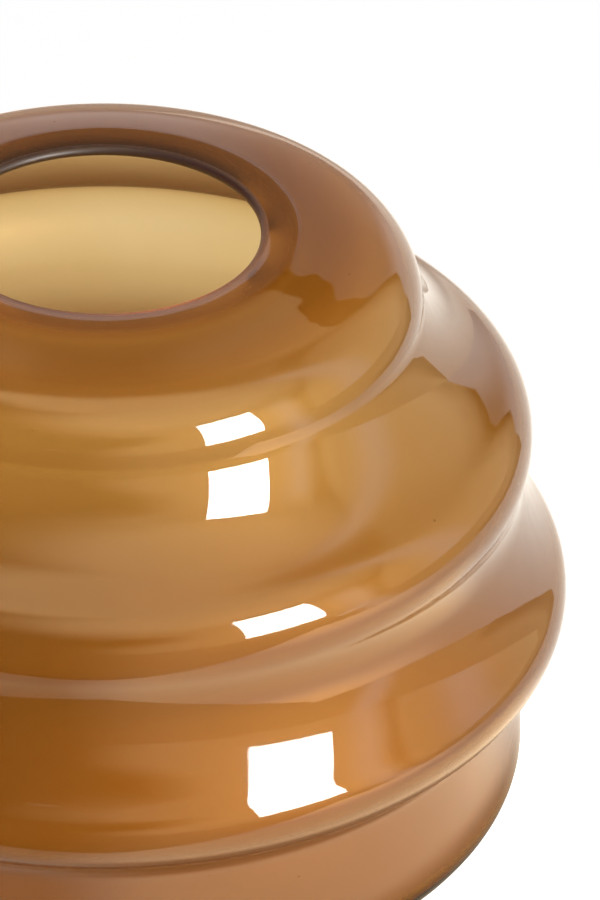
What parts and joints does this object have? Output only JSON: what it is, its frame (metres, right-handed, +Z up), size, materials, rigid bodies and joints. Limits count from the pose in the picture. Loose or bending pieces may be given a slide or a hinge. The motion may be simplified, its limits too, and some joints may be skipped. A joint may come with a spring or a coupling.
{
  "type": "gourd vase",
  "caption": "Squat gourd vase of glossy amber glass with stacked rounded bulges, soft hollow creases, a level rounded rim and clear bumpers under its foot.",
  "frame": {"origin": "on the table plane, under the middle of the vase", "axes": "+Z up along the vase's axis of revolution, -Y towards the viewer of the picture, +X to the viewer's right"},
  "size_m": [0.2199, 0.22, 0.1508],
  "materials": {
    "amber_glass": "transparent amber glass, fire-polished gloss, even in colour through its thickness",
    "clear_bumper": "clear soft polyurethane, slightly milky"
  },
  "bodies": {
    "root": {"glass_body": "amber_glass", "bumper_front": "clear_bumper", "bumper_right": "clear_bumper", "bumper_back": "clear_bumper", "bumper_left": "clear_bumper"}
  },
  "joints": []
}
